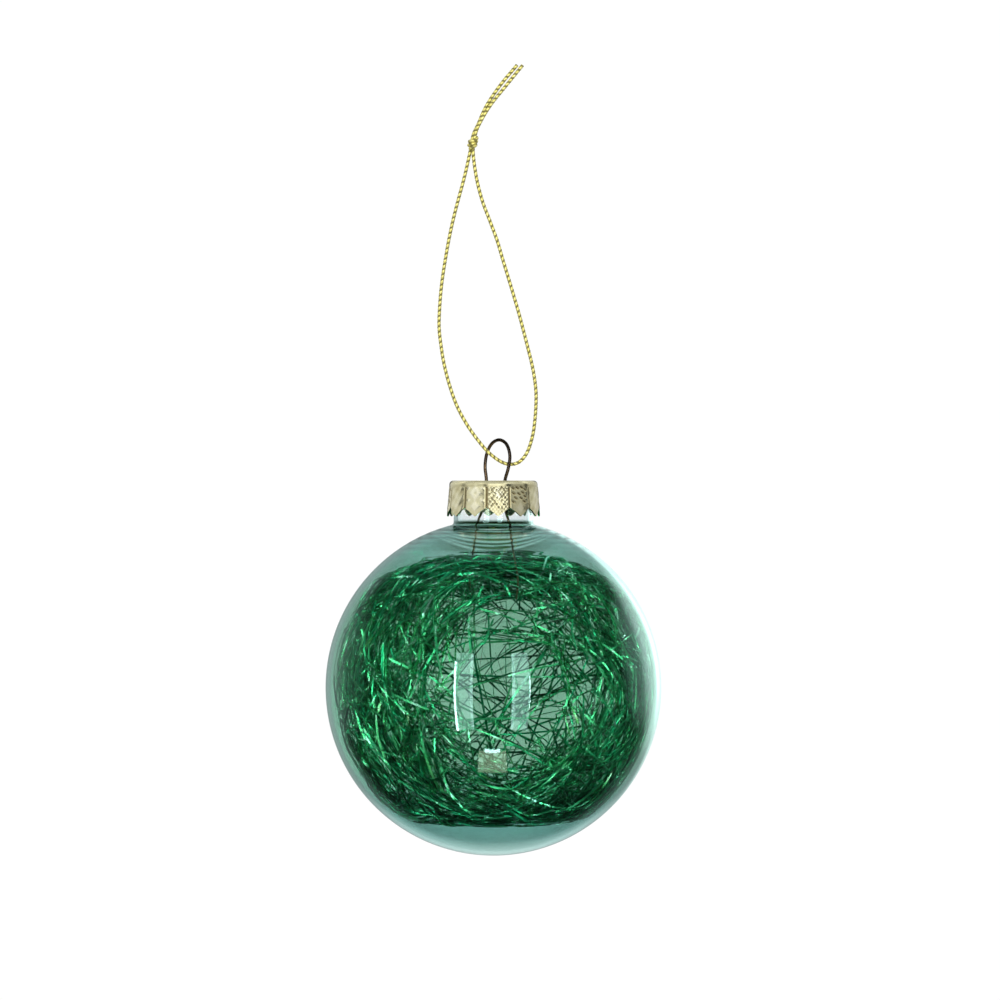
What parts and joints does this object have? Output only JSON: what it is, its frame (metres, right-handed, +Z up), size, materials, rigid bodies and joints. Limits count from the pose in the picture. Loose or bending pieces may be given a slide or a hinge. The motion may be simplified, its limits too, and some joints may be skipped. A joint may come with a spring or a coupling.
{
  "type": "glass ball ornament",
  "caption": "Clear tinted glass ball filled with loose green tinsel strips, with an embossed gold crown cap, a spring wire hanger and a knotted gold cord.",
  "frame": {"origin": "inside top of the hanger wire's eye, where a hook or cord bears", "axes": "+Z up, away from the ball; +X to the right seen from the front; -Y to the front"},
  "size_m": [0.0799, 0.0799, 0.1886],
  "materials": {
    "tinted_glass": "polished, faint blue-green tint",
    "gold_metal": "pale gold, stamped, satin to bright",
    "bronzed_wire": "dark bronzed",
    "gold_thread": "metallic foil wrapped over a dark olive core",
    "green_film": "metallised, mirror-like"
  },
  "bodies": {
    "hanger": {"hanger_wire": "bronzed_wire", "cord_loop": "gold_thread", "cord_knot": "gold_thread", "cord_tail_left": "gold_thread", "cord_tail_right": "gold_thread"},
    "cap": {"crown_cap": "gold_metal"},
    "ball": {"glass_ball": "tinted_glass", "tinsel_strip_01": "green_film", "tinsel_strip_02": "green_film", "tinsel_strip_03": "green_film", "tinsel_strip_04": "green_film", "tinsel_strip_05": "green_film", "tinsel_strip_06": "green_film", "tinsel_strip_07": "green_film", "tinsel_strip_08": "green_film", "tinsel_strip_09": "green_film", "tinsel_strip_10": "green_film", "tinsel_strip_11": "green_film", "tinsel_strip_12": "green_film", "tinsel_strip_13": "green_film", "tinsel_strip_14": "green_film", "tinsel_strip_15": "green_film", "tinsel_strip_16": "green_film", "tinsel_strip_17": "green_film", "tinsel_strip_18": "green_film", "tinsel_strip_19": "green_film", "tinsel_strip_20": "green_film", "tinsel_strip_21": "green_film", "tinsel_strip_22": "green_film", "tinsel_strip_23": "green_film", "tinsel_strip_24": "green_film", "tinsel_strip_25": "green_film", "tinsel_strip_26": "green_film", "tinsel_strip_27": "green_film", "tinsel_strip_28": "green_film", "tinsel_strip_29": "green_film", "tinsel_strip_30": "green_film", "tinsel_strip_31": "green_film", "tinsel_strip_32": "green_film", "tinsel_strip_33": "green_film", "tinsel_strip_34": "green_film", "tinsel_strip_35": "green_film", "tinsel_strip_36": "green_film", "tinsel_strip_37": "green_film", "tinsel_strip_38": "green_film", "tinsel_strip_39": "green_film", "tinsel_strip_40": "green_film", "tinsel_strip_41": "green_film", "tinsel_strip_42": "green_film", "tinsel_strip_43": "green_film", "tinsel_strip_44": "green_film", "tinsel_strip_45": "green_film", "tinsel_strip_46": "green_film", "tinsel_strip_47": "green_film", "tinsel_strip_48": "green_film"}
  },
  "joints": [
    {"name": "wire_travel", "type": "slide", "parent": "hanger", "child": "cap", "axis": [0, 0, 1], "range_m": [-0.002, 0.002]},
    {"name": "ball_pull", "type": "slide", "parent": "cap", "child": "ball", "axis": [0, 0, -1], "range_m": [0, 0.03]}
  ]
}
